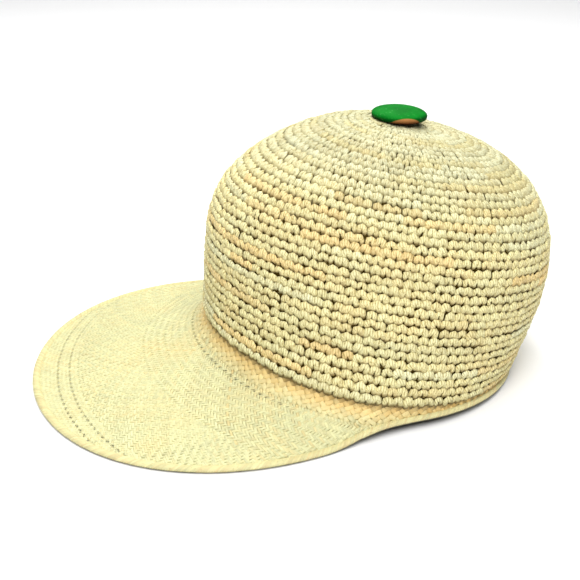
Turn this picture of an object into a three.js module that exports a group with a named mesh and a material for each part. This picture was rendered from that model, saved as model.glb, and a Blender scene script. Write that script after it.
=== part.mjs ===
// Crocheted straw cap with a woven peak and a button on top.
// Millimetres, +Z up, the table is Z = 0, the peak points to -Y, left and right are mirror images in X.
import * as THREE from "three";

// Crown: the oval of the lowest crochet round, seen from above before the crown leans back
const HALF_WIDTH = 91.4;
const FRONT_LENGTH = 75.2;
const BACK_LENGTH = 108.9;
const EGG = 0.123; // how much wider the oval is behind than in front
const CROWN_HEIGHT = 127.3; // lowest round to apex, along the axis of the crown
const CROWN_LEAN = THREE.MathUtils.degToRad(12.6); // the rounds rise to the front by this
const CROWN_LIFT = 18.5; // centre of the lowest round above the table
const APEX_SHIFT = 0.081; // the axis leans back by this share of the height
const APEX_LEVEL = 0.081; // upper rounds lean less than the lower ones by this slope
const BACK_RISE = 12.4; // the lowest rounds level out at the back, where the cap rests
const BACK_RISE_FADE = 2;

// Crown profile: the radius over the height, for the front, the side and the back
const PROFILES = {
  front: { topPower: 4.62, sideRoot: 2.07, belly: 0.185, shoulder: -0.036 },
  side: { topPower: 3.94, sideRoot: 2.31, belly: -0.03, shoulder: -0.017 },
  back: { topPower: 3.27, sideRoot: 2.56, belly: 0.028, shoulder: 0.002 },
};

// Crochet rounds and wall of the crown
const ROUNDS = 36;
const ROUND_RIB = 0.45; // crest and groove of a round stand out by this from the mean face
const CROWN_WALL = 2.4;
const CROWN_SEGMENTS = 40;
const LINING_RINGS = 9; // rings of the smooth inner face
const APEX_HOLE = 2.2; // radius left open for the thread of the button

// Woven peak and band
const PEAK_LENGTH = 98.9; // from the lowest round to the edge, at the front
const PEAK_FADE = 2.15; // how fast the peak narrows towards the sides
const PEAK_FULLNESS = 0.58; // how square the peak is at its corners
const PEAK_END = THREE.MathUtils.degToRad(108); // angle from the front where the peak has become the band
const BAND_FLARE_SIDE = 2.9; // the band's edge stands outside the lowest round by this
const BAND_FLARE_BACK = 0.8; // and by this much more at the back
const WEAVE_THICKNESS = 2.0;
const PEAK_SEGMENTS = 80;
const PEAK_STATIONS = 7; // rings across the peak, on each face
const WALL_DROP = 0.24; // share of the width in which the weave drops like a wall below the crochet
const WALL_DROP_MAX = 19.0;
const FLARE_REACH = 0.45; // share of the width in which it turns to the slope of the edge
const EDGE_FLATTENING = 0.62; // how much flatter the peak is at its edge than from crochet to edge
const BAND_TUCK = 8.3; // the band leans back with the crown over this height

// Height of the edge: on the table in front, lifted at the side, back on the table behind
const EDGE_LIFT = 4.5;
const LIFT_START = THREE.MathUtils.degToRad(79);
const LIFT_FULL = THREE.MathUtils.degToRad(98);

// Finished edge, a flat braid round the peak and the band
const BRAID_WIDTH = 4.6;
const BRAID_HEIGHT = 3.2;
const BRAID_SIDES = 8;

// Button and its thread
const BUTTON_RADIUS = 15.4;
const BUTTON_THICKNESS = 7.4;
const BUTTON_RIM_SHARE = 0.46; // height of the widest line, as a share of the thickness
const BUTTON_SEGMENTS = 32;
const BUTTON_ARC_STEPS = 5;
const BUTTON_LEAN = THREE.MathUtils.degToRad(3);
const BUTTON_CLEARANCE = 1.2; // underside above the apex
const THREAD_RADIUS = 1.6;
const THREAD_KNOT_RADIUS = 4.0;
const THREAD_KNOT_HEIGHT = 1.6;
const THREAD_SEGMENTS = 16;
const KNOT_CLEARANCE = 1.2; // knot below the inner face, which slopes round the hole

const GAP = 0.3; // between neighbouring pieces
const CENTRE_SHIFT = 24.2; // moves the middle of the outline over the origin
const STEP = 1e-3; // step for slopes taken from neighbouring points

const smooth = (value) => {
  const k = Math.min(Math.max(value, 0), 1);
  return k * k * (3 - 2 * k);
};

// Share of front, side and back at an angle from the front
function weights(angle) {
  const c = Math.cos(angle);
  const s = Math.sin(angle);
  return { front: Math.max(c, 0) ** 2, side: s * s, back: Math.max(-c, 0) ** 2 };
}

// Point of the lowest round's oval, angle 0 at the front
function oval(angle) {
  const c = Math.cos(angle);
  const length = c >= 0 ? FRONT_LENGTH : BACK_LENGTH;
  return { x: HALF_WIDTH * Math.sin(angle) * (1 - EGG * c), y: -length * c };
}

// Outward direction of the oval in plan
function ovalNormal(angle) {
  const a = oval(angle - STEP);
  const b = oval(angle + STEP);
  const size = Math.hypot(b.x - a.x, b.y - a.y);
  return { x: (b.y - a.y) / size, y: -(b.x - a.x) / size };
}

// Radius of the crown at a height share, as a share of the oval
function profile(angle, h) {
  const w = weights(angle);
  const mix = (name) => w.front * PROFILES.front[name] + w.side * PROFILES.side[name] + w.back * PROFILES.back[name];
  const dome = Math.max(1 - h ** mix("topPower"), 0) ** (1 / mix("sideRoot"));
  return dome * (1 + mix("belly") * Math.sin(Math.PI * h) + mix("shoulder") * Math.sin(2 * Math.PI * h));
}

// Leans a point of the crown back and sets it over the table
function lean(x, y, z) {
  const c = Math.cos(CROWN_LEAN);
  const s = Math.sin(CROWN_LEAN);
  return new THREE.Vector3(x, y * c + z * s + CENTRE_SHIFT, CROWN_LIFT + z * c - y * s);
}

// Mean outer face of the crown; h is 0 at the lowest round and 1 at the apex
function crownPoint(angle, h) {
  const r = profile(angle, h);
  const o = oval(angle);
  const y = o.y * r + APEX_SHIFT * CROWN_HEIGHT * h;
  const rise = BACK_RISE * (1 - h) ** BACK_RISE_FADE * weights(angle).back;
  return lean(o.x * r, y, CROWN_HEIGHT * h + APEX_LEVEL * y * r * h + rise);
}

// Outward direction of the crown's face
function crownNormal(angle, h) {
  const low = Math.max(h - STEP, 0);
  const high = Math.min(h + STEP, 1 - STEP);
  const up = crownPoint(angle, high).sub(crownPoint(angle, low));
  const along = crownPoint(angle + STEP, h).sub(crownPoint(angle - STEP, h));
  return along.cross(up).normalize();
}

// Height shares with equal steps of length along the side of the crown, from the last round up
function evenHeights(count) {
  const samples = 4000;
  const side = Math.PI / 2;
  const lengths = [0];
  let before = crownPoint(side, 0);
  for (let i = 1; i <= samples; i++) {
    const here = crownPoint(side, i / samples);
    lengths.push(lengths[i - 1] + here.distanceTo(before));
    before = here;
  }
  const total = lengths[samples];
  const heights = [];
  let at = 0;
  for (let k = 0; k <= count; k++) {
    const goal = (total * k) / count;
    while (at < samples && lengths[at + 1] < goal) at++;
    const span = lengths[at + 1] - lengths[at];
    heights.push(at >= samples ? 1 : (at + (goal - lengths[at]) / span) / samples);
  }
  return heights;
}

// Closed skin through rings of points; the last ring joins the first again
function ringSkin(rings) {
  const n = rings[0].length;
  const positions = [];
  for (const ring of rings) for (const p of ring) positions.push(p.x, p.y, p.z);
  const index = [];
  for (let r = 0; r < rings.length; r++) {
    const next = (r + 1) % rings.length;
    for (let i = 0; i < n; i++) {
      const j = (i + 1) % n;
      index.push(r * n + i, r * n + j, next * n + j);
      index.push(r * n + i, next * n + j, next * n + i);
    }
  }
  const geometry = new THREE.BufferGeometry();
  geometry.setAttribute("position", new THREE.Float32BufferAttribute(positions, 3));
  geometry.setIndex(index);
  geometry.computeVertexNormals();
  return geometry;
}

// Angles once round the cap
function anglesRound(count) {
  return Array.from({ length: count }, (_, i) => (2 * Math.PI * i) / count);
}

// Crown: ribbed outer face, one rib a crochet round, and a smooth inner face
function crownGeometry() {
  const angles = anglesRound(CROWN_SEGMENTS);
  const lastRing = 2 * ROUNDS - 1;
  const heights = evenHeights(2 * ROUNDS);
  const holeRing = (offset) => angles.map((a) => apexRing(a, offset));
  const rings = [];
  for (let k = 0; k < lastRing; k++) {
    const bump = k % 2 === 1 ? ROUND_RIB : -ROUND_RIB;
    rings.push(angles.map((a) => crownPoint(a, heights[k]).addScaledVector(crownNormal(a, heights[k]), bump)));
  }
  rings.push(holeRing(0));
  rings.push(holeRing(-CROWN_WALL));
  const inner = evenHeights(LINING_RINGS + 1);
  for (let k = LINING_RINGS; k >= 0; k--) {
    rings.push(angles.map((a) => crownPoint(a, inner[k]).addScaledVector(crownNormal(a, inner[k]), -CROWN_WALL)));
  }
  return ringSkin(rings);
}

// Ring round the thread hole at the apex, on the outer or the inner face
function apexRing(angle, offset) {
  const top = crownPoint(0, 1);
  return new THREE.Vector3(
    top.x + APEX_HOLE * Math.sin(angle),
    top.y - APEX_HOLE * Math.cos(angle),
    top.z + offset,
  );
}

// Outer edge of peak and band
function edgePoint(angle) {
  const turned = Math.abs(Math.atan2(Math.sin(angle), Math.cos(angle)));
  const fade = turned < PEAK_END ? Math.cos(((turned / PEAK_END) * Math.PI) / 2) ** PEAK_FADE : 0;
  const flare = BAND_FLARE_SIDE + BAND_FLARE_BACK * Math.max(-Math.cos(angle), 0);
  const reach = PEAK_LENGTH * fade * (1 + PEAK_FULLNESS * (1 - fade)) + flare * (1 - fade);
  const o = oval(angle);
  const n = ovalNormal(angle);
  const rise = smooth((turned - LIFT_START) / (LIFT_FULL - LIFT_START));
  const fall = smooth((turned - LIFT_FULL) / (Math.PI - LIFT_FULL));
  return new THREE.Vector3(
    o.x + n.x * reach,
    o.y * Math.cos(CROWN_LEAN) - BAND_TUCK * Math.sin(CROWN_LEAN) + n.y * reach + CENTRE_SHIFT,
    BRAID_HEIGHT / 2 + EDGE_LIFT * (rise - fall),
  );
}

// Outward direction of the edge in plan
function edgeNormal(angle) {
  const along = edgePoint(angle + STEP).sub(edgePoint(angle - STEP));
  return new THREE.Vector3(along.y, -along.x, 0).normalize();
}

// Reach of the braid's section in a direction that rises by the given angle
function braidReach(rise) {
  const widen = 1 / Math.cos(Math.PI / BRAID_SIDES);
  return (widen / 2) * Math.hypot(BRAID_WIDTH * Math.cos(rise), BRAID_HEIGHT * Math.sin(rise));
}

// Middle face of the weave; share is 0 below the crochet and 1 at the braid
function weavePoint(angle, share) {
  const top = crownPoint(angle, 0).addScaledVector(crownNormal(angle, 0), -CROWN_WALL / 2);
  const down = crownPoint(angle, 0).sub(crownPoint(angle, 2 * STEP)).normalize();
  top.addScaledVector(down, GAP);
  const out = edgeNormal(angle);
  const braid = edgePoint(angle).addScaledVector(out, -BRAID_WIDTH / 2);
  const toTop = top.clone().sub(braid);
  const chord = Math.atan2(toTop.z, Math.max(-toTop.dot(out), 0));
  const rise = chord * (1 - EDGE_FLATTENING * Math.cos(chord) ** 2);
  const inward = new THREE.Vector3(-out.x * Math.cos(rise), -out.y * Math.cos(rise), Math.sin(rise));
  const end = braid.clone().addScaledVector(inward, braidReach(rise) + GAP);
  const width = top.distanceTo(end);
  const first = top.clone().addScaledVector(down, Math.min(WALL_DROP * width, WALL_DROP_MAX));
  const second = end.clone().addScaledVector(inward, FLARE_REACH * width);
  return new THREE.CubicBezierCurve3(top, first, second, end).getPoint(share);
}

// Upward direction of the weave's face
function weaveNormal(angle, share) {
  const low = Math.max(share - STEP, 0);
  const high = Math.min(share + STEP, 1);
  const out = weavePoint(angle, high).sub(weavePoint(angle, low));
  const along = weavePoint(angle + STEP, share).sub(weavePoint(angle - STEP, share));
  return out.cross(along).normalize();
}

// Peak and band: one sheet of straw weave from the crochet to the braid
function peakGeometry() {
  const angles = anglesRound(PEAK_SEGMENTS);
  const face = (share, offset) =>
    angles.map((a) => weavePoint(a, share).addScaledVector(weaveNormal(a, share), offset));
  const rings = [];
  for (let k = PEAK_STATIONS; k >= 0; k--) rings.push(face(k / PEAK_STATIONS, WEAVE_THICKNESS / 2));
  for (let k = 0; k <= PEAK_STATIONS; k++) rings.push(face(k / PEAK_STATIONS, -WEAVE_THICKNESS / 2));
  return ringSkin(rings);
}

// Braid: a flat rounded cord laid round the edge
function braidGeometry() {
  const angles = anglesRound(PEAK_SEGMENTS);
  const rings = [];
  for (let k = 0; k < BRAID_SIDES; k++) {
    const turn = (2 * Math.PI * (k + 0.5)) / BRAID_SIDES;
    const widen = 1 / Math.cos(Math.PI / BRAID_SIDES);
    const across = (Math.cos(turn) * widen - 1) * (BRAID_WIDTH / 2);
    const height = Math.sin(turn) * widen * (BRAID_HEIGHT / 2);
    rings.push(angles.map((a) => {
      const p = edgePoint(a).addScaledVector(edgeNormal(a), across);
      p.z += height;
      return p;
    }));
  }
  return ringSkin(rings);
}

// Button: a lens, fuller on top than below
function buttonGeometry() {
  const rimHeight = BUTTON_THICKNESS * BUTTON_RIM_SHARE;
  const points = [];
  for (let i = 0; i <= BUTTON_ARC_STEPS; i++) {
    const t = ((i / BUTTON_ARC_STEPS) * Math.PI) / 2;
    points.push(new THREE.Vector2(BUTTON_RADIUS * Math.sin(t), rimHeight * (1 - Math.cos(t))));
  }
  for (let i = BUTTON_ARC_STEPS - 1; i >= 0; i--) {
    const t = ((i / BUTTON_ARC_STEPS) * Math.PI) / 2;
    const rise = (BUTTON_THICKNESS - rimHeight) * Math.cos(t);
    points.push(new THREE.Vector2(BUTTON_RADIUS * Math.sin(t), rimHeight + rise));
  }
  points[0].x = 0;
  points[points.length - 1].x = 0;
  const geometry = new THREE.LatheGeometry(points, BUTTON_SEGMENTS);
  geometry.rotateX(Math.PI / 2);
  return geometry;
}

// Thread: a knot inside the crown and the stem that goes up to the button
function threadGeometry(stemLength) {
  const points = [
    new THREE.Vector2(0, -THREAD_KNOT_HEIGHT),
    new THREE.Vector2(THREAD_KNOT_RADIUS, -THREAD_KNOT_HEIGHT),
    new THREE.Vector2(THREAD_KNOT_RADIUS, 0),
    new THREE.Vector2(THREAD_RADIUS, 0),
    new THREE.Vector2(THREAD_RADIUS, stemLength),
    new THREE.Vector2(0, stemLength),
  ];
  const geometry = new THREE.LatheGeometry(points, THREAD_SEGMENTS);
  geometry.rotateX(Math.PI / 2);
  return geometry;
}

function material(colour, roughness) {
  return new THREE.MeshStandardMaterial({ color: colour, roughness, metalness: 0 });
}

const straw = material(0xe6d29a, 0.72);
const weave = material(0xeadba6, 0.66);
const edge = material(0xd9c48c, 0.7);
const dyed = material(0x12833a, 0.38);
const twine = material(0xc9a86a, 0.8);

const crown = new THREE.Mesh(crownGeometry(), straw);
crown.name = "crown";
const peak = new THREE.Mesh(peakGeometry(), weave);
peak.name = "peak_and_band";
const braid = new THREE.Mesh(braidGeometry(), edge);
braid.name = "edge_braid";

const apex = crownPoint(0, 1);
const button = new THREE.Mesh(buttonGeometry(), dyed);
button.name = "button";
button.rotation.x = -BUTTON_LEAN;
button.position.set(0, apex.y, apex.z + BUTTON_CLEARANCE);

const stemLength = CROWN_WALL + KNOT_CLEARANCE + BUTTON_CLEARANCE - GAP;
const thread = new THREE.Mesh(threadGeometry(stemLength), twine);
thread.name = "button_thread";
thread.position.set(0, apex.y, apex.z - CROWN_WALL - KNOT_CLEARANCE);

const cap = new THREE.Group();
cap.name = "straw_cap";
cap.add(crown, peak, braid, button, thread);
export default cap;
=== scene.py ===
"""Looks of a straw cap: a crocheted crown, a finely woven peak, a turned edge and a green button.

Shapes are worked out in millimetres and put into the scene in metres: +Z is up, the peak points to -Y.
"""

import logging
import math
from dataclasses import dataclass
from enum import Enum

import bpy
import numpy as np
from mathutils import Matrix, Vector


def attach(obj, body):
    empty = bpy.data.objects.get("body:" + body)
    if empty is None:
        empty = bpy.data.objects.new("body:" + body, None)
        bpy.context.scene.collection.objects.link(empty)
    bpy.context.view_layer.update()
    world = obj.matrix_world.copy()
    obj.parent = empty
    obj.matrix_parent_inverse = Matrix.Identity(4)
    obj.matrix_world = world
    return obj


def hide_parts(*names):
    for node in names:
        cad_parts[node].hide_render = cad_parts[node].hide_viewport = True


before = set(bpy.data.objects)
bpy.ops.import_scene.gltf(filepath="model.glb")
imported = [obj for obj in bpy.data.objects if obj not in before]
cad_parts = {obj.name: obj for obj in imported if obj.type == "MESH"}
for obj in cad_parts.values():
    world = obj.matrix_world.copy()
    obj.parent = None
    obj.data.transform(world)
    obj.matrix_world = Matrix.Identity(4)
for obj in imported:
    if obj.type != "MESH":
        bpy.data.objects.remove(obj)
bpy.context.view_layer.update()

LOG = logging.getLogger("straw_cap")
Array = np.ndarray
Colour = tuple[float, float, float, float]
Point = tuple[float, float, float]
Socket = bpy.types.NodeSocket
Inputs = dict[str | int, object]
METRES = 0.001
STEP = 1e-3
TINY = 1e-6
FULL_TURN = 2 * math.pi
RING_SAMPLES = 2881
UP = np.array([0.0, 0.0, 1.0])


# Form


def unit(vectors: Array) -> Array:
    """Vectors scaled to length one."""
    return vectors / np.linalg.norm(vectors, axis=-1, keepdims=True)


def smooth(value: Array) -> Array:
    """Soft step from 0 to 1."""
    k = np.clip(value, 0.0, 1.0)
    return k * k * (3.0 - 2.0 * k)


def running_length(line: Array) -> Array:
    """Length of a line up to each of its points."""
    return np.concatenate([[0], np.cumsum(np.linalg.norm(np.diff(line, axis=0), axis=1))])


@dataclass(frozen=True)
class Profile:
    """How the crown narrows with height on one of its sides."""

    top_power: float
    side_root: float
    belly: float
    shoulder: float


@dataclass(frozen=True)
class CapForm:
    """Form of the cap in millimetres; angle 0 is the front and a quarter turn the wearer's left."""

    half_width: float = 91.4
    front_length: float = 75.2
    back_length: float = 108.9
    egg: float = 0.123
    crown_height: float = 127.3
    crown_lean: float = math.radians(12.6)
    crown_lift: float = 18.5
    apex_shift: float = 0.081
    apex_level: float = 0.081
    back_rise: float = 12.4
    back_rise_fade: float = 2.0
    front: Profile = Profile(4.62, 2.07, 0.185, -0.036)
    side: Profile = Profile(3.94, 2.31, -0.03, -0.017)
    back: Profile = Profile(3.27, 2.56, 0.028, 0.002)
    crown_wall: float = 2.4
    centre_shift: float = 24.2
    peak_length: float = 98.9
    peak_fade: float = 2.15
    peak_fullness: float = 0.58
    peak_end: float = math.radians(108)
    flare_side: float = 2.9
    flare_back: float = 0.8
    wall_drop: float = 0.24
    wall_drop_max: float = 19.0
    flare_reach: float = 0.45
    edge_flattening: float = 0.62
    band_tuck: float = 8.3
    edge_lift: float = 4.5
    lift_start: float = math.radians(79)
    lift_full: float = math.radians(98)
    braid_width: float = 4.6
    braid_height: float = 3.2
    braid_sides: int = 8
    gap: float = 0.3

    def oval(self, angle: Array) -> Array:
        """Points of the lowest round's oval in plan.

        Args:
            angle: angles from the front.

        Returns:
            Points in plan.
        """
        c = np.cos(angle)
        length = np.where(c >= 0, self.front_length, self.back_length)
        return np.stack([self.half_width * np.sin(angle) * (1 - self.egg * c), -length * c], -1)

    def oval_normal(self, angle: Array) -> Array:
        """Outward directions of the oval in plan."""
        d = self.oval(angle + STEP) - self.oval(angle - STEP)
        return unit(np.stack([d[..., 1], -d[..., 0]], -1))

    def radius(self, angle: Array, h: Array) -> Array:
        """Radius of the crown, as a share of the oval's.

        Args:
            angle: angles from the front.
            h: height shares, 0 at the lowest round and 1 at the apex.

        Returns:
            Shares of the radius.
        """
        c, s = np.cos(angle), np.sin(angle)
        weights = (np.maximum(c, 0) ** 2, s * s, np.maximum(-c, 0) ** 2)
        sides = (self.front, self.side, self.back)

        def mix(name: str) -> Array:
            """Value of one profile number at the angle."""
            return sum(w * getattr(p, name) for w, p in zip(weights, sides))

        dome = np.maximum(1 - h ** mix("top_power"), 0) ** (1 / mix("side_root"))
        bulge = mix("belly") * np.sin(math.pi * h) + mix("shoulder") * np.sin(FULL_TURN * h)
        return dome * (1 + bulge)

    def crown(self, angle: Array, h: Array) -> Array:
        """Mean outer face of the crown.

        Args:
            angle: angles from the front.
            h: height shares, 0 at the lowest round and 1 at the apex.

        Returns:
            Points of the face.
        """
        angle, h = np.broadcast_arrays(np.asarray(angle, float), np.asarray(h, float))
        r = self.radius(angle, h)
        plan = self.oval(angle)
        y = plan[..., 1] * r + self.apex_shift * self.crown_height * h
        rise = self.back_rise * (1 - h) ** self.back_rise_fade * np.maximum(-np.cos(angle), 0) ** 2
        z = self.crown_height * h + self.apex_level * y * r * h + rise
        c, s = math.cos(self.crown_lean), math.sin(self.crown_lean)
        forward = y * c + z * s + self.centre_shift
        height = self.crown_lift + z * c - y * s
        return np.stack([plan[..., 0] * r, forward, height], -1)

    def crown_normal(self, angle: Array, h: Array) -> Array:
        """Outward directions of the crown's face.

        Args:
            angle: angles from the front.
            h: height shares.

        Returns:
            Unit directions.
        """
        low, high = np.maximum(h - STEP, 0), np.minimum(h + STEP, 1 - STEP)
        up = self.crown(angle, high) - self.crown(angle, low)
        along = self.crown(angle + STEP, h) - self.crown(angle - STEP, h)
        return unit(np.cross(along, up))

    def height_shares(self, shares: Array, samples: int = 4001) -> Array:
        """Height shares that lie at the given shares of the length up the crown's side.

        Args:
            shares: shares of the length.
            samples: points measured up the side.

        Returns:
            Height shares.
        """
        h = np.linspace(0, 1, samples)
        length = running_length(self.crown(np.full_like(h, math.pi / 2), h))
        return np.interp(shares, length / length[-1], h)

    def edge(self, angle: Array) -> Array:
        """Outermost line of the edge, at the middle of its height.

        Args:
            angle: angles from the front.

        Returns:
            Points of the line.
        """
        turned = np.abs(np.arctan2(np.sin(angle), np.cos(angle)))
        quarter = np.minimum(turned / self.peak_end, 1) * math.pi / 2
        fade = np.maximum(np.cos(quarter), 0) ** self.peak_fade
        flare = self.flare_side + self.flare_back * np.maximum(-np.cos(angle), 0)
        reach = self.peak_length * fade * (1 + self.peak_fullness * (1 - fade)) + flare * (1 - fade)
        plan, out = self.oval(angle), self.oval_normal(angle)
        rise = smooth((turned - self.lift_start) / (self.lift_full - self.lift_start))
        fall = smooth((turned - self.lift_full) / (math.pi - self.lift_full))
        tuck = self.band_tuck * math.sin(self.crown_lean)
        return np.stack(
            [
                plan[..., 0] + out[..., 0] * reach,
                plan[..., 1] * math.cos(self.crown_lean) - tuck + out[..., 1] * reach + self.centre_shift,
                self.braid_height / 2 + self.edge_lift * (rise - fall),
            ],
            -1,
        )

    def edge_normal(self, angle: Array) -> Array:
        """Outward directions of the edge in plan."""
        d = self.edge(angle + STEP) - self.edge(angle - STEP)
        return unit(np.stack([d[..., 1], -d[..., 0], np.zeros_like(d[..., 0])], -1))

    def weave(self, angle: Array, share: Array) -> Array:
        """Middle face of the weave.

        Args:
            angle: angles from the front.
            share: 0 below the crochet and 1 at the braid.

        Returns:
            Points of the face.
        """
        angle, share = np.broadcast_arrays(np.asarray(angle, float), np.asarray(share, float))
        zero = np.zeros_like(angle)
        top = self.crown(angle, zero) - self.crown_normal(angle, zero) * self.crown_wall / 2
        down = unit(self.crown(angle, zero) - self.crown(angle, zero + 2 * STEP))
        top = top + down * self.gap
        out = self.edge_normal(angle)
        braid = self.edge(angle) - out * self.braid_width / 2
        to_top = top - braid
        chord = np.arctan2(to_top[..., 2], np.maximum(-(to_top * out).sum(-1), 0))
        rise = chord * (1 - self.edge_flattening * np.cos(chord) ** 2)
        inward = np.stack([-out[..., 0] * np.cos(rise), -out[..., 1] * np.cos(rise), np.sin(rise)], -1)
        widen = 1 / math.cos(math.pi / self.braid_sides)
        reach = widen / 2 * np.hypot(self.braid_width * np.cos(rise), self.braid_height * np.sin(rise))
        end = braid + inward * (reach + self.gap)[..., None]
        width = np.linalg.norm(top - end, axis=-1)[..., None]
        first = top + down * np.minimum(self.wall_drop * width, self.wall_drop_max)
        second = end + inward * self.flare_reach * width
        t = share[..., None]
        return (1 - t) ** 3 * top + 3 * (1 - t) ** 2 * t * first + 3 * (1 - t) * t * t * second + t**3 * end


class PeakSheet:
    """Middle face of peak and band, found by angle and by distance from the crochet along the face."""

    ANGLES = 1440
    SAMPLES = 200
    COLUMNS = 140

    def __init__(self, form: CapForm) -> None:
        """Measures the form.

        Args:
            form: form of the cap.
        """
        self.form = form
        self.angle = np.linspace(0, FULL_TURN, self.ANGLES + 1)
        points = form.weave(self.angle[:, None], np.linspace(0, 1, self.SAMPLES)[None, :])
        steps = np.linalg.norm(np.diff(points, axis=1), axis=2)
        length = np.concatenate([np.zeros((len(points), 1)), np.cumsum(steps, axis=1)], axis=1)
        self.width = length[:, -1]
        fractions = np.linspace(0, 1, self.COLUMNS + 1)
        self.points = np.stack(
            [
                np.stack([np.interp(fractions * row[-1], row, line[:, c]) for c in range(3)], -1)
                for row, line in zip(length, points)
            ]
        )
        along = np.gradient(np.concatenate([self.points[-2:-1], self.points, self.points[1:2]]), axis=0)[1:-1]
        self.normals = unit(np.cross(np.gradient(self.points, axis=1), along))

    def width_at(self, angle: Array) -> Array:
        """Width of the sheet at an angle."""
        return np.interp(np.mod(angle, FULL_TURN), self.angle, self.width)

    def place(self, angle: Array, distance: Array) -> tuple[Array, Array]:
        """Points and upward directions of the sheet.

        Args:
            angle: angle from the front.
            distance: distance from the crochet along the sheet; it may run a little past either end.

        Returns:
            Points and unit normals.
        """
        at = np.mod(angle, FULL_TURN) / FULL_TURN * self.ANGLES
        i = np.minimum(at.astype(int), self.ANGLES - 1)
        a = (at - i)[..., None]
        column = distance / self.width_at(angle) * self.COLUMNS
        j = np.clip(column.astype(int), 0, self.COLUMNS - 1)
        b = (column - j)[..., None]

        def blend(table: Array) -> Array:
            """Values between the four neighbours in a table.

            Args:
                table: points or directions by angle and column.

            Returns:
                Blended values.
            """
            low = table[i, j] * (1 - b) + table[i, j + 1] * b
            high = table[i + 1, j] * (1 - b) + table[i + 1, j + 1] * b
            return low * (1 - a) + high * a

        return blend(self.points), unit(blend(self.normals))


class Twill(Enum):
    """How the floats of the weave line up."""

    RIDGES = "ridges that run round the crown"
    STREAKS = "streaks that run outward"
    PLAIN = "a plain check of over and under"


class Slot(Enum):
    """Material slots of the record."""

    CROCHET = "crochet_straw"
    WEAVE = "woven_straw"
    EDGE = "edge_straw"
    BUTTON = "green_button"
    THREAD = "straw_thread"


# Meshes


class StrandMesh:
    """Gathers many strands into one mesh, with each strand's shade and the place along and across it."""

    CHANNELS = ("tone", "warmth", "along", "across")

    def __init__(self, name: str) -> None:
        """Starts an empty mesh.

        Args:
            name: name of the piece.
        """
        self.name = name
        self.points: list[Array] = []
        self.loops: list[Array] = []
        self.sizes: list[Array] = []
        self.channels: dict[str, list[Array]] = {c: [] for c in self.CHANNELS}
        self.count = 0

    def add(self, points: Array, faces: list[Array], **channels: Array) -> None:
        """Adds points and faces.

        Args:
            points: points in millimetres, one a row.
            faces: arrays of faces, each with its own number of corners a row.
            channels: one value a point for tone, warmth, along and across.
        """
        self.points.append(points)
        for group in faces:
            self.loops.append((group + self.count).ravel())
            self.sizes.append(np.full(len(group), group.shape[1]))
        for name in self.CHANNELS:
            self.channels[name].append(np.broadcast_to(channels.get(name, 0.0), len(points)))
        self.count += len(points)

    def build(self) -> bpy.types.Object:
        """Makes the object.

        Returns:
            The object, linked to the scene.
        """
        points = np.concatenate(self.points) * METRES
        loops, sizes = np.concatenate(self.loops), np.concatenate(self.sizes)
        used, loops = np.unique(loops, return_inverse=True)
        points = points[used]
        mesh = bpy.data.meshes.new(self.name)
        mesh.vertices.add(len(points))
        mesh.vertices.foreach_set("co", points.astype(np.float32).ravel())
        mesh.loops.add(len(loops))
        mesh.loops.foreach_set("vertex_index", loops.astype(np.int32).ravel())
        mesh.polygons.add(len(sizes))
        starts = np.concatenate([[0], np.cumsum(sizes)[:-1]])
        mesh.polygons.foreach_set("loop_start", starts.astype(np.int32))
        mesh.polygons.foreach_set("loop_total", sizes.astype(np.int32))
        mesh.update(calc_edges=True)
        mesh.polygons.foreach_set("use_smooth", np.ones(len(sizes), bool))
        for name, parts in self.channels.items():
            values = np.concatenate(parts)[used].astype(np.float32)
            mesh.attributes.new(name, "FLOAT", "POINT").data.foreach_set("value", values)
        made = bpy.data.objects.new(self.name, mesh)
        bpy.context.scene.collection.objects.link(made)
        return made


def tube_faces(stations: int, sides: int, closed: bool = False) -> list[Array]:
    """Faces of one tube with points in rows of stations.

    Args:
        stations: rows of points along the tube.
        sides: points in a row.
        closed: whether the last row joins the first.

    Returns:
        Quads, and end faces where the tube is open.
    """
    row = np.arange(stations if closed else stations - 1)[:, None]
    side = np.arange(sides)[None, :]
    after, turn = (row + 1) % stations, (side + 1) % sides
    quads = np.stack(
        [row * sides + side, row * sides + turn, after * sides + turn, after * sides + side], -1
    ).reshape(-1, 4)
    if closed:
        return [quads]
    first = np.arange(sides)[None, ::-1]
    return [quads, np.concatenate([first, np.arange(sides)[None, :] + (stations - 1) * sides])]


def flipped(faces: list[Array]) -> list[Array]:
    """The same faces, turned over."""
    return [group[:, ::-1] for group in faces]


def strand_faces(kept: Array, sides: int) -> list[Array]:
    """Faces of many open strands, left out where a station isn't kept.

    Args:
        kept: whether each station along each strand is kept.
        sides: points in a section.

    Returns:
        Quads and end faces.
    """
    index = np.arange(kept.size).reshape(kept.shape) * sides
    joined = kept[:, :-1] & kept[:, 1:]
    a, b = index[:, :-1][joined], index[:, 1:][joined]
    turns = [(k, (k + 1) % sides) for k in range(sides)]
    quads = np.concatenate([np.stack([a + k, a + n, b + n, b + k], -1) for k, n in turns])[:, ::-1]
    bound = np.zeros((len(joined), 1), bool)
    starts = joined & ~np.concatenate([bound, joined[:, :-1]], axis=1)
    ends = joined & ~np.concatenate([joined[:, 1:], bound], axis=1)
    corner = np.arange(sides)
    first, last = index[:, :-1][starts][:, None], index[:, 1:][ends][:, None]
    return [quads, np.concatenate([first + corner, last + corner[::-1]])]


def repeat_faces(faces: list[Array], copies: int, step: int) -> list[Array]:
    """The same faces for many copies whose points follow each other."""
    shift = (np.arange(copies) * step)[:, None, None]
    return [(group[None] + shift).reshape(-1, group.shape[1]) for group in faces]


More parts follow.
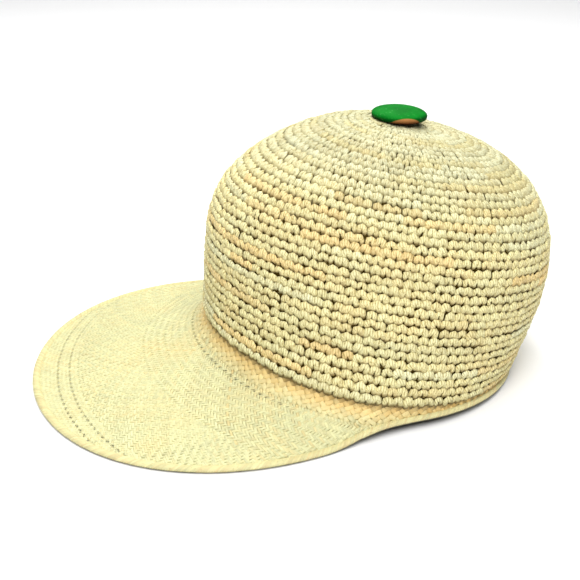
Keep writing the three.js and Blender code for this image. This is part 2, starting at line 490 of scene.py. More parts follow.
def smooth_noise(rng: np.random.Generator, count: int, cells: int) -> Array:
    """Soft random values that close in a ring.

    Args:
        rng: source of random numbers.
        count: number of values.
        cells: number of random knots round the ring.

    Returns:
        Values of about -1 to 1.
    """
    knots = rng.uniform(-1, 1, max(cells, 2))
    at = np.arange(count) / count * len(knots)
    i = at.astype(int)
    k = smooth(at - i)
    return knots[i % len(knots)] * (1 - k) + knots[(i + 1) % len(knots)] * k


# Crochet


@dataclass(frozen=True)
class Stitch:
    """One stitch: a strap of straw bent into an arch, in millimetres.

    A row of the path has the place across the stitch, up it and out from the face, then half the width and
    half the thickness of the strap.
    """

    pitch: float = 5.7
    height: float = 4.75
    lean: float = 0.17
    sides: int = 6
    bend: float = 0.15
    heave: float = 0.09
    swell: float = 0.10
    close_up: float = 0.08
    fan: float = 1.75
    fan_spread: float = 0.16
    fibre_step: float = 1.5
    path: tuple[tuple[float, ...], ...] = (
        (-1.42, -2.95, -1.05, 0.95, 0.46),
        (-1.50, -2.10, -0.22, 1.28, 0.68),
        (-1.50, -0.85, 0.34, 1.52, 0.82),
        (-1.24, 0.40, 0.54, 1.58, 0.88),
        (0.00, 1.05, 0.58, 1.44, 0.88),
        (1.24, 0.40, 0.54, 1.58, 0.88),
        (1.50, -0.85, 0.34, 1.52, 0.82),
        (1.50, -2.10, -0.22, 1.28, 0.68),
        (1.42, -2.95, -1.05, 0.95, 0.46),
    )

    def shapes(self, rng: np.random.Generator, count: int, closing: float) -> tuple[Array, Array, Array]:
        """Points of many stitches, each bent and swollen a little differently.

        Args:
            rng: source of random numbers.
            count: number of stitches.
            closing: how far the legs close up, from 0 to 1.

        Returns:
            Points across, up and out for each stitch, the place up it and the place across its fan of fibres.
        """
        table = np.array(self.path)
        stations = len(table)
        line = np.repeat(table[None, :, :3], count, axis=0)
        line[..., 0] *= 1 - self.close_up * closing
        line[..., 0] -= self.lean * line[..., 1]
        line[..., :2] += rng.normal(0, self.bend, (count, stations, 2))
        line[..., 2] += rng.normal(0, self.heave, (count, stations))
        tangent = unit(np.gradient(line, axis=1))
        side = unit(np.cross(UP, tangent))
        top = np.cross(tangent, side)
        legs = rng.normal(1.0, self.swell, (count, 2))
        share = np.linspace(0, 1, stations)
        size = legs[:, :1] * (1 - share) + legs[:, 1:] * share
        turn = np.arange(self.sides) / self.sides * FULL_TURN
        across, rise = np.cos(turn), np.sin(turn)
        wide = (table[:, 3] * size)[..., None] * across
        thick = (table[:, 4] * size)[..., None] * rise
        points = line[:, :, None] + side[:, :, None] * wide[..., None] + top[:, :, None] * thick[..., None]
        points = points.reshape(count, -1, 3)
        upright = points[..., 0] + self.lean * points[..., 1]
        fan = self.fan + self.fan_spread * points[..., 1]
        return points, points[..., 1] * self.fibre_step, upright / fan


@dataclass(frozen=True)
class RoundLay:
    """Place, directions, size and shade of each stitch in a round."""

    place: Array
    right: Array
    up: Array
    out: Array
    width: Array
    height: Array
    turn: Array
    lift: Array
    tone: Array
    warmth: Array
    closing: float


@dataclass
class Crown:
    """Crocheted crown: rounds of stitches on both faces, with a dark core between them that is painted shade for
    the gaps.

    Lengths are in millimetres. Rounds crowd and stitches narrow towards the top, where they also close up,
    spread and turn pale from close_start on; top_shade darkens them there as painted shade. The foot of a
    stitch, below foot_start, is painted darker and warmer where it dips under the round below: painted shade.
    Values that end in jitter, tone or hue are spreads of random draws.
    """

    form: CapForm
    rounds: int = 42
    crowding: float = 0.16
    pitch_low: float = 5.8
    pitch_drop: float = 3.2
    pitch_power: float = 2.2
    least_stitches: int = 6
    back_sink: float = 0.055
    sink_power: float = 1.5
    sink_start: float = 0.12
    bands: tuple[int, ...] = (0, 13, 26, 42)
    flattening: float = 0.8
    close_start: float = 0.45
    close_rate: float = 2.0
    spread: float = 0.08
    widening: float = 0.03
    mean_width: float = 1.10
    width_jitter: float = 0.05
    mean_height: float = 1.15
    height_jitter: float = 0.07
    place_jitter: float = 0.05
    sway_jitter: float = 0.17
    turn_jitter: float = 0.16
    lift_jitter: float = 0.15
    wave: float = 0.3
    wave_stitches: int = 6
    strand_stitches: tuple[int, int] = (3, 18)
    strand_hue: float = 0.14
    strand_tone: float = 0.3
    warm_below: float = 0.17
    warm_hues: tuple[float, float] = (0.4, 1.0)
    pale_below: float = 0.29
    pale_hues: tuple[float, float] = (-0.9, -0.4)
    stitch_tone: float = 0.22
    stitch_hue: float = 0.13
    # top_shade is painted shade: it darkens the rounds towards the top.
    top_shade: float = 1.7
    top_paleness: float = 1.0
    # Foot values paint shade, darker and warmer, on the foot of each stitch where it dips under the round below.
    foot_start: float = -1.0
    foot_length: float = 1.0
    foot_shade: float = 5.9
    foot_fade: float = 0.6
    foot_warmth: float = 0.9
    fibre_shift: float = 17.0
    depth_out: float = -0.35
    depth_in: float = -2.0
    inner_lean: float = -0.1
    inner_sides: int = 4
    # Core: a near-black sheet between the two faces of stitches, painted shade that shows in the gaps.
    core_depths: tuple[float, float] = (-0.55, -1.75)
    core_span: tuple[float, float] = (0.004, 0.985)
    core_segments: int = 160
    core_tone: float = -1.0
    core_warmth: float = 0.4
    core_fibre: tuple[float, float] = (2.0, 0.3)
    seed: int = 11

    def share(self, step: float) -> float:
        """Share of the length up the side at a number of rounds; the rounds crowd a little towards the top."""
        t = step / self.rounds
        return t * (1 + self.crowding * (1 - t))

    def heights(self, angle: Array, share: float) -> Array:
        """Height shares round the crown of a round that sinks a little at the back.

        Args:
            angle: angles from the front.
            share: share of the length up the side.

        Returns:
            Height share at each angle.
        """
        backward = np.maximum(-np.cos(angle), 0) ** self.sink_power
        sink = self.back_sink * backward * (1 - share) * (1 - math.exp(-share / self.sink_start))
        return self.form.height_shares(share - sink)

    def round_line(self, share: float, samples: int = 1441) -> tuple[Array, Array]:
        """One round at a share of the length up the side.

        Args:
            share: 0 at the lowest round, 1 at the apex.
            samples: points measured round the crown.

        Returns:
            Angles and the length round the crown up to each.
        """
        angle = np.linspace(0, FULL_TURN, samples)
        return angle, running_length(self.form.crown(angle, self.heights(angle, share)))

    def shades(self, rng: np.random.Generator, count: int) -> tuple[Array, Array]:
        """Tone and warmth of each stitch in a round: strands of straw run through several stitches.

        Args:
            rng: source of random numbers.
            count: stitches in the round.

        Returns:
            Tone and warmth, one value a stitch.
        """
        tone, warmth = np.zeros(count), np.zeros(count)
        at = 0
        while at < count:
            run = int(rng.integers(*self.strand_stitches))
            pick = rng.random()
            hue = rng.normal(0, self.strand_hue)
            if pick < self.warm_below:
                hue = rng.uniform(*self.warm_hues)
            elif pick < self.pale_below:
                hue = rng.uniform(*self.pale_hues)
            warmth[at : at + run] = hue
            tone[at : at + run] = rng.normal(0, self.strand_tone)
            at += run
        return tone + rng.normal(0, self.stitch_tone, count), warmth + rng.normal(0, self.stitch_hue, count)

    def lay_round(self, index: int, rng: np.random.Generator) -> RoundLay:
        """Places the stitches of one round.

        Args:
            index: round, 0 at the bottom.
            rng: source of random numbers.

        Returns:
            The stitches of the round.
        """
        share = self.share(index + 0.5)
        angle, length = self.round_line(share)
        pitch = self.pitch_low - self.pitch_drop * share**self.pitch_power
        count = max(int(round(length[-1] / pitch)), self.least_stitches)
        at = (np.arange(count) + rng.random() + rng.normal(0, self.place_jitter, count)) / count
        where = np.interp(np.mod(at, 1) * length[-1], length, angle)
        sway = self.wave * smooth_noise(rng, count, count // self.wave_stitches)
        sway = sway + rng.normal(0, self.sway_jitter, count)
        h = self.heights(where, share)
        base = self.form.crown(where, h)
        normal = self.form.crown_normal(where, h)
        right = unit(self.form.crown(where + STEP, h) - self.form.crown(where - STEP, h))
        up = np.cross(normal, right)
        top = self.form.crown(where, self.heights(where, self.share(index + 1)))
        foot = self.form.crown(where, self.heights(where, self.share(index)))
        tone, warmth = self.shades(rng, count)
        closed = (share - self.close_start) / (1 - self.close_start) * self.close_rate
        closing = float(smooth(np.array(closed)))
        wide = rng.normal(self.mean_width, self.width_jitter, count) + self.widening * closing
        high = rng.normal(self.mean_height, self.height_jitter, count) + self.spread * closing
        return RoundLay(
            place=base + up * sway[:, None],
            right=right,
            up=up,
            out=normal,
            width=length[-1] / count * wide,
            height=np.linalg.norm(top - foot, axis=1) * high,
            turn=rng.normal(0, self.turn_jitter, count),
            lift=rng.normal(0, self.lift_jitter, count),
            # Painted shade: the rounds are darkened towards the top.
            tone=tone - self.top_shade * closing,
            warmth=warmth - self.top_paleness * closing,
            closing=closing,
        )

    def stitch_round(
        self,
        mesh: StrandMesh,
        rng: np.random.Generator,
        stitch: Stitch,
        lay: RoundLay,
        depth: float,
        face: float,
    ) -> None:
        """Adds a round of stitches to a mesh.

        Args:
            mesh: mesh that takes them.
            rng: source of random numbers.
            stitch: shape of one stitch.
            lay: the stitches of the round.
            depth: distance from the mean outer face.
            face: 1 for the outer face, -1 for the inner one.
        """
        count = len(lay.width)
        points, along, across = stitch.shapes(rng, count, lay.closing)
        c, s = np.cos(lay.turn)[:, None], np.sin(lay.turn)[:, None]
        wide = (lay.width / stitch.pitch)[:, None]
        u = points[..., 0] * wide
        v = points[..., 1] * (lay.height / stitch.height)[:, None]
        w = face * (points[..., 2] * wide**self.flattening + lay.lift[:, None]) + depth
        u, v = u * c - v * s, u * s + v * c
        placed = (
            lay.place[:, None]
            + lay.right[:, None] * u[..., None]
            + lay.up[:, None] * v[..., None]
            + lay.out[:, None] * w[..., None]
        )
        # Painted shade: the foot of each stitch, where it dips under the round below, is darkened and warmed in
        # colour, less so towards the top.
        foot = smooth((self.foot_start - points[..., 1]) / self.foot_length)
        foot = foot * (1 - self.foot_fade * lay.closing)
        faces = repeat_faces(tube_faces(len(stitch.path), stitch.sides), count, points.shape[1])
        offset = np.arange(count)[:, None] * self.fibre_shift
        mesh.add(
            placed.reshape(-1, 3),
            flipped(faces) if face < 0 else faces,
            tone=(lay.tone[:, None] - self.foot_shade * foot).ravel(),
            warmth=(lay.warmth[:, None] + self.foot_warmth * foot).ravel(),
            along=(along + offset).ravel(),
            across=across.ravel(),
        )

    def core(self) -> bpy.types.Object:
        """Makes the dark core that fills the wall between the two faces of stitches: painted shade that shows in
        the gaps.

        Returns:
            The core.
        """
        mesh = StrandMesh("crown_core")
        angle = np.linspace(0, FULL_TURN, self.core_segments, endpoint=False)
        heights = self.form.height_shares(np.linspace(*self.core_span, self.rounds + 1))
        rows = []
        for offset, order in zip(self.core_depths, (1, -1)):
            for h in heights[::order]:
                share = np.full(self.core_segments, h)
                rows.append(self.form.crown(angle, share) + self.form.crown_normal(angle, share) * offset)
        points = np.concatenate(rows)
        mesh.add(
            points,
            flipped(tube_faces(len(rows), self.core_segments, closed=True)),
            tone=self.core_tone,
            warmth=self.core_warmth,
            along=points[:, 2] * self.core_fibre[0],
            across=points[:, 1] * self.core_fibre[1],
        )
        return mesh.build()

    def build(self) -> list[bpy.types.Object]:
        """Makes the crown.

        Returns:
            Pieces of the crown, the core last.
        """
        rng = np.random.default_rng(self.seed)
        lays = [self.lay_round(k, rng) for k in range(self.rounds)]
        outer = Stitch()
        inner = Stitch(lean=self.inner_lean, sides=self.inner_sides, path=outer.path[::2])
        pieces = []
        names = ("crown_stitches_low", "crown_stitches_middle", "crown_stitches_high")
        for name, first, last in zip(names, self.bands, self.bands[1:]):
            mesh = StrandMesh(name)
            for lay in lays[first:last]:
                self.stitch_round(mesh, rng, outer, lay, self.depth_out, 1.0)
            pieces.append(mesh.build())
        mesh = StrandMesh("crown_inner_stitches")
        for lay in lays:
            self.stitch_round(mesh, rng, inner, lay, self.depth_in, -1.0)
        pieces.append(mesh.build())
        pieces.append(self.core())
        for piece in pieces:
            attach(piece, "root")
            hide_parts("crown")
        return pieces


# Weave


@dataclass(frozen=True)
class WeaveZone:
    """A stretch of the weave between two distances from the crochet, in millimetres."""

    name: str
    start: float
    end: float
    strand: float
    twill: Twill
    relief: float
    open_rows: tuple[float, ...] = ()
    reach: float = math.pi
    squash: float = 1.0


@dataclass
class PeakAndBand:
    """Woven peak and band: two families of flat strands that cross on the slant.

    Lengths are in millimetres; the section is a strand's, across and up, in half widths and thicknesses. Tan
    values warm the weave by the crochet, partly as the straw's own colour and partly as painted warm shade; seam
    values paint shade in the seam under the crochet, and hole values make the dotted open rows in front, with
    painted shade round the holes. Values that end in jitter or tone are spreads of random draws.
    """

    sheet: PeakSheet
    zones: tuple[WeaveZone, ...] = (
        WeaveZone("band_weave", -0.4, 11.6, 2.85, Twill.PLAIN, 0.3, squash=0.64),
        WeaveZone("peak_weave_inner", 12.0, 48.0, 1.58, Twill.RIDGES, 0.18, (14.8,), math.radians(106)),
        WeaveZone("peak_weave_middle", 47.6, 86.4, 1.46, Twill.STREAKS, 0.18, (), math.radians(88)),
        WeaveZone("peak_weave_outer", 86.0, 112.0, 1.6, Twill.PLAIN, 0.22, (90.0, 96.7), math.radians(56)),
    )
    section: tuple[tuple[float, float], ...] = ((-1.0, -0.35), (-0.72, 1.0), (0.72, 1.0), (1.0, -0.35))
    strand_thickness: float = 0.26
    width_jitter: float = 0.05
    wobble: float = 0.04
    float_rise: float = 1.12
    strand_tone: float = 0.4
    station_tone: float = 0.3
    hue_jitter: float = 0.12
    rare_odds: float = 0.03
    rare_hues: tuple[float, float] = (0.1, 0.28)
    # Tan values: partly the straw's own warmer colour, partly painted warm shade in the hollow by the crown.
    tan_reach: float = 9.5
    tan_strength: float = 1.15
    # Seam values: painted shade along the seam under the crochet.
    seam_reach: float = 2.3
    seam_shade: float = 5.0
    hole_pitch: float = 5.0
    hole_pull: float = 0.45
    hole_length: float = 1.0
    hole_width: float = 0.68
    # hole_shade: painted shade on the strands round the holes.
    hole_shade: float = 1.6
    hole_reach: float = math.radians(72)
    hole_fade: float = 6.0
    fibre_shift: float = 31.0
    tuck: float = 1.4
    seed: int = 5

    def ring(self, zone: WeaveZone) -> tuple[Array, Array]:
        """Angles and lengths along the middle of a zone.

        Args:
            zone: stretch of the weave.

        Returns:
            Angles and the length up to each.
        """
        angle = np.linspace(-zone.reach, zone.reach, RING_SAMPLES)
        middle = np.minimum((zone.start + zone.end) / 2, self.sheet.width_at(angle))
        points, _ = self.sheet.place(angle, middle)
        return angle, running_length(points)

    def is_over(self, zone: WeaveZone, column: Array, row: Array) -> Array:
        """Whether the strands that lean right lie on top at a crossing.

        Args:
            zone: stretch of the weave.
            column: number of the strand that leans right.
            row: row of crossings, counted outward.

        Returns:
            True where they lie on top.
        """
        count = {Twill.RIDGES: row, Twill.STREAKS: 2 * column + row, Twill.PLAIN: 2 * row}[zone.twill]
        return np.mod(count, 4) < 2

    def lattice(self, zone: WeaveZone, slant: int, total: float) -> tuple[Array, Array, Array, Array]:
        """Stations along the strands that slant one way: at each crossing and half way to the next.

        Args:
            zone: stretch of the weave.
            slant: 1 for strands that lean right as they run outward, -1 for left.
            total: length along the middle of the zone.

        Returns:
            Strand numbers, distances from the crochet, places along the zone, and levels from -1 to 1.
        """
        slope = math.sqrt(1 + zone.squash**2) / zone.squash
        columns = int(round(total / (zone.strand * slope) / 4)) * 4
        pitch = total / columns
        row_step = pitch * zone.squash / 2
        rows = int(math.ceil((zone.end - zone.start) / row_step))
        spare = 0 if zone.reach >= math.pi else rows // 2 + 2
        strand = np.arange(-spare, columns + spare)[:, None]
        station = np.arange(2 * rows + 1)[None, :]
        distance = zone.start + station * row_step / 2 + 0.0 * strand
        at = (strand + station / 4 * slant) * pitch
        over = 0.0
        for row in (station // 2, (station + 1) // 2):
            over = over + self.is_over(zone, strand if slant > 0 else strand - row, row)
        level = (over - 1.0) * slant * np.where(station % 2 == 1, self.float_rise, 1.0)
        return strand, distance, at, level

    def openness(self, zone: WeaveZone, distance: Array, angle: Array) -> Array:
        """How open the weave is at places of a zone.

        Args:
            zone: stretch of the weave.
            distance: distances from the crochet.
            angle: angles from the front.

        Returns:
            1 in the middle of an open row, 0 away from it.
        """
        ahead = smooth((self.hole_reach - np.abs(angle)) * self.hole_fade)
        return sum(np.exp(-(((distance - row) / self.hole_length) ** 2)) for row in zone.open_rows) * ahead

    def shades(self, rng: np.random.Generator, distance: Array, holes: Array) -> tuple[Array, Array]:
        """Tone and warmth of one family of strands: tan by the crochet, partly own colour and partly painted
        warm shade, and painted shade in the seam and round the holes.

        Args:
            rng: source of random numbers.
            distance: distances from the crochet.
            holes: 1 in the middle of a hole, 0 away from it.

        Returns:
            Tone and warmth at each station.
        """
        each = (len(distance), 1)
        tone = rng.normal(0, self.strand_tone, each) + rng.normal(0, self.station_tone, distance.shape)
        warmth = np.where(rng.random(each) < self.rare_odds, rng.uniform(*self.rare_hues, each), 0.0)
        warmth = warmth + rng.normal(0, self.hue_jitter, each)
        # Tan by the crochet is partly the straw's own colour and partly painted warm shade in the hollow by the
        # crown; the seam under the crochet and the holes get painted shade.
        outward = np.maximum(distance, 0)
        warmth = warmth + self.tan_strength * np.exp(-((outward / self.tan_reach) ** 2))
        tone = tone - self.hole_shade * holes
        return tone - self.seam_shade * np.exp(-((outward / self.seam_reach) ** 2)), warmth

    def lay_family(self, mesh: StrandMesh, zone: WeaveZone, slant: int, rng: np.random.Generator) -> None:
        """Adds the strands of a zone that slant one way.

        Args:
            mesh: mesh that takes them.
            zone: stretch of the weave.
            slant: 1 for strands that lean right as they run outward, -1 for left.
            rng: source of random numbers.
        """
        angle, length = self.ring(zone)
        total = length[-1]
        strand, distance, at, level = self.lattice(zone, slant, total)
        openness = self.openness(zone, distance, np.interp(np.mod(at, total), length, angle))
        turn = FULL_TURN * at / self.hole_pitch
        holes = openness * (0.5 - 0.5 * np.cos(turn)) ** 2
        at = at - self.hole_pull * openness * np.sin(turn)
        closed = zone.reach >= math.pi
        inside = (at > -TINY) & (at < total + TINY)
        where = np.interp(np.mod(at, total) if closed else np.clip(at, 0, total), length, angle)
        room = self.sheet.width_at(where) + self.tuck
        kept = (distance <= room) & (inside | closed)
        points, normals = self.sheet.place(where, np.minimum(distance, room))
        lift = zone.relief * level + rng.normal(0, self.wobble, distance.shape)
        line = points + normals * lift[..., None]
        tangent = unit(np.gradient(line, axis=1))
        side = unit(np.cross(normals, tangent))
        top = np.cross(tangent, side)
        half = zone.strand / 2 * rng.normal(1.0, self.width_jitter, (len(strand), 1))
        half = (half * (1 - self.hole_width * holes))[..., None]
        made = np.stack(
            [line + side * (half * a) + top * (self.strand_thickness * b) for a, b in self.section], axis=2
        )
        tone, warmth = self.shades(rng, distance, holes)
        travel = distance * math.sqrt(2) + self.fibre_shift * strand
        sides = len(self.section)
        mesh.add(
            made.reshape(-1, 3),
            strand_faces(kept, sides),
            tone=np.repeat(tone, sides),
            warmth=np.repeat(warmth, sides),
            along=np.repeat(travel, sides),
            across=np.tile([a for a, _ in self.section], distance.size),
        )

    def build(self) -> list[bpy.types.Object]:
        """Makes the weave.

        Returns:
            One piece a zone.
        """
        rng = np.random.default_rng(self.seed)
        pieces = []
        for zone in self.zones:
            mesh = StrandMesh(zone.name)
            for slant in (1, -1):
                self.lay_family(mesh, zone, slant, rng)
            piece = mesh.build()
            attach(piece, "root")
            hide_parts("peak_and_band")
            pieces.append(piece)
        return pieces


# Edge


@dataclass
class Edge:
    """Turned edge: strands wound on the slant round a flat core.

    Lengths are in millimetres; the section is a strand's, across and up, in half widths and thicknesses. Under
    values darken the lower side, which the table shades.
    """

    form: CapForm
    strands: int = 8
    turn_length: float = 10.4
    stations: int = 12
    section: tuple[tuple[float, float], ...] = ((-1.0, -0.5), (-0.6, 0.8), (0.6, 0.8), (1.0, -0.5))
    strand_half: float = 0.62
    strand_thickness: float = 0.24
    swell_jitter: float = 0.02
    turn_tone: float = 0.5
    turn_warmth: float = 0.2
    warmth_jitter: float = 0.22
    under_start: float = 0.05
    under_fade: float = 0.5
    under_shade: float = 5.2
    fibre_step: float = 0.8
    # The core is near black: painted shade between the strands.
    core_share: float = 0.74
    core_segments: int = 480
    core_sides: int = 10
    core_tone: float = -0.8
    core_warmth: float = 0.5
    seed: int = 8

    def frame(self, angle: Array) -> tuple[Array, Array]:
        """Centre of the edge's section and its outward direction."""
        out = self.form.edge_normal(angle)
        return self.form.edge(angle) - out * self.form.braid_width / 2, out

    def halves(self) -> tuple[float, float]:
        """Half the width and half the height of the oval that the strands run on."""
        thickness = self.strand_thickness
        return self.form.braid_width / 2 - thickness, self.form.braid_height / 2 - thickness

    def wrap(self) -> bpy.types.Object:
        """Makes the strands round the core.

        Returns:
            The strands.
        """
        rng = np.random.default_rng(self.seed)
        angle = np.linspace(0, FULL_TURN, RING_SAMPLES)
        length = running_length(self.frame(angle)[0])
        turns = int(round(length[-1] / self.turn_length))
        count = turns * self.stations
        station = np.arange(count)
        turn = station / self.stations
        spin = turn * FULL_TURN
        under = self.under_shade * smooth((-np.sin(spin) - self.under_start) / self.under_fade)
        half_width, half_height = self.halves()
        sides = len(self.section)
        mesh = StrandMesh("edge_strands")
        for k in range(self.strands):
            share = (station + k * self.stations / self.strands) / count
            middle, out = self.frame(np.interp(np.mod(share, 1) * length[-1], length, angle))
            swell = (1 + rng.normal(0, self.swell_jitter, count))[:, None]
            reach = out * (np.cos(spin) * half_width)[:, None] + UP * (np.sin(spin) * half_height)[:, None]
            line = middle + reach * swell
            tangent = unit(np.roll(line, -1, axis=0) - np.roll(line, 1, axis=0))
            outward = out * (np.cos(spin) / half_width)[:, None] + UP * (np.sin(spin) / half_height)[:, None]
            side = unit(np.cross(unit(outward), tangent))
            top = np.cross(tangent, side) * self.strand_thickness
            side = side * self.strand_half
            tone = np.interp(turn, np.arange(turns), rng.normal(0, self.turn_tone, turns)) - under
            warmth = rng.normal(self.turn_warmth, self.warmth_jitter, turns)
            mesh.add(
                np.stack([line + side * a + top * b for a, b in self.section], axis=1).reshape(-1, 3),
                flipped(tube_faces(count, sides, closed=True)),
                tone=np.repeat(tone, sides),
                warmth=np.repeat(np.interp(turn, np.arange(turns), warmth), sides),
                along=np.repeat(station * self.fibre_step, sides),
                across=np.tile([a for a, _ in self.section], count),
            )
        return mesh.build()

    def core(self) -> bpy.types.Object:
        """Makes the dark core inside the strands: painted shade that shows between them.

        Returns:
            The core.
        """
        mesh = StrandMesh("edge_core")
        half_width, half_height = self.halves()
        middle, out = self.frame(np.linspace(0, FULL_TURN, self.core_segments, endpoint=False))
        spin = np.arange(self.core_sides) / self.core_sides * FULL_TURN
        ring = (
            middle[:, None]
            + out[:, None] * (np.cos(spin) * half_width * self.core_share)[None, :, None]
            + UP * (np.sin(spin) * half_height * self.core_share)[None, :, None]
        )
        faces = flipped(tube_faces(self.core_segments, self.core_sides, closed=True))
        mesh.add(ring.reshape(-1, 3), faces, tone=self.core_tone, warmth=self.core_warmth)
        return mesh.build()

    def build(self) -> list[bpy.types.Object]:
        """Makes the edge.

        Returns:
            Its strands and its core.
        """
        pieces = [self.wrap(), self.core()]
        for piece in pieces:
            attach(piece, "root")
            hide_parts("edge_braid")
        return pieces


# Button


@dataclass
class Button:
    """Green button: a lens cut from a hard nut, with its tan skin left on part of the lower face."""

    form: CapForm
    radius: float = 15.4
    thickness: float = 7.4
    rim_share: float = 0.46
    squareness: float = 3.4
    ripple: float = 0.006
    fine_ripple: float = 0.004
    lean: float = math.radians(3)
    clearance: float = 1.2
    segments: int = 96
    rings: int = 14

    def apex(self) -> Array:
        """Top of the crown, under the button."""
        return self.origin() - np.array([0, 0, self.clearance])

    def origin(self) -> Array:
        """Middle of the button's lower face."""
        return self.form.crown(np.array(0.0), np.array(1.0)) + np.array([0, 0, self.clearance])

    def build(self) -> bpy.types.Object:
        """Makes the button.

        Returns:
            The button.
        """
        mesh = StrandMesh("nut_button")
        rim = self.thickness * self.rim_share
        turn = np.linspace(0, math.pi / 2, self.rings + 1)[1:]
        square = 2 / self.squareness
        radius = np.concatenate([np.sin(turn) ** square, np.sin(turn[::-1][1:])]) * self.radius
        bottom = rim * (1 - np.cos(turn) ** square)
        top = rim + (self.thickness - rim) * np.cos(turn[::-1][1:])
        height = np.concatenate([bottom, top])
        spin = np.linspace(0, FULL_TURN, self.segments, endpoint=False)
        uneven = 1 + self.ripple * np.sin(3 * spin + 0.7) + self.fine_ripple * np.sin(7 * spin)
        x = radius[:, None] * np.cos(spin) * uneven
        y = radius[:, None] * np.sin(spin) * uneven
        z = np.broadcast_to(height[:, None], x.shape)
        c, s = math.cos(-self.lean), math.sin(-self.lean)
        points = np.stack([x, y * c - z * s, y * s + z * c], -1).reshape(-1, 3) + self.origin()
        ends = np.array([[0, 0, 0], [0, -self.thickness * s, self.thickness * c]]) + self.origin()
        n, rows = self.segments, len(radius)
        ring, last = np.arange(n), (rows - 1) * n
        after = (ring + 1) % n
        low = np.stack([np.full(n, rows * n), after, ring], -1)
        high = np.stack([np.full(n, rows * n + 1), ring + last, after + last], -1)
        mesh.add(np.concatenate([points, ends]), [tube_faces(rows, n)[0], low, high])
        piece = mesh.build()
        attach(piece, "root")
        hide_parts("button")
        return piece


@dataclass
class ButtonTie:
    """Two-ply thread that holds the button, and its coiled knot inside the crown."""

    button: Button
    radius: float = 0.8
    sides: int = 8
    stem_bottom: float = -4.0
    stem_inset: float = 0.2
    stem_radius: float = 0.75
    stem_turns: float = 1.5
    stem_stations: int = 26
    knot_start: float = 1.2
    knot_radius: float = 3.2
    knot_turns: float = 3.0
    knot_drop: float = 0.5
    knot_ripple: float = 0.2
    knot_slimness: float = 0.9
    knot_stations: int = 73
    fibre_step: float = 0.4
    aside: tuple[float, float, float] = (0.31, 0.22, 0.92)

    def build(self) -> bpy.types.Object:
        """Makes the thread and its knot.

        Returns:
            The thread.
        """
        mesh = StrandMesh("button_tie")
        base = self.button.apex()
        low, high = self.stem_bottom, self.button.clearance - self.stem_inset
        t = np.linspace(0, 1, self.stem_stations)
        for phase in (0.0, math.pi):
            spin = t * FULL_TURN * self.stem_turns + phase
            x, y = self.stem_radius * np.cos(spin), self.stem_radius * np.sin(spin)
            self.add_cord(mesh, np.stack([x, y, low + (high - low) * t], -1) + base, self.radius)
        t = np.linspace(0, 1, self.knot_stations)
        spin = t * FULL_TURN * self.knot_turns
        grow = self.knot_start + (self.knot_radius - self.knot_start) * t
        z = low - self.knot_drop + self.knot_ripple * np.sin(5 * spin)
        line = np.stack([grow * np.cos(spin), grow * np.sin(spin), z], -1) + base
        self.add_cord(mesh, line, self.radius * self.knot_slimness)
        piece = mesh.build()
        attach(piece, "root")
        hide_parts("button_thread")
        return piece

    def add_cord(self, mesh: StrandMesh, line: Array, radius: float) -> None:
        """Adds a round cord along a line.

        Args:
            mesh: mesh that takes it.
            line: points of the line.
            radius: radius of the cord.
        """
        tangent = unit(np.gradient(line, axis=0))
        side = unit(np.cross(tangent, np.array(self.aside)))
        top = np.cross(tangent, side)
        spin = np.arange(self.sides) / self.sides * FULL_TURN
        ring = side[:, None] * np.cos(spin)[None, :, None] + top[:, None] * np.sin(spin)[None, :, None]
        mesh.add(
            (line[:, None] + ring * radius).reshape(-1, 3),
            tube_faces(len(line), self.sides),
            along=np.repeat(np.arange(len(line)) * self.fibre_step, self.sides),
            across=np.tile(np.cos(spin), len(line)),
        )


# Finishes


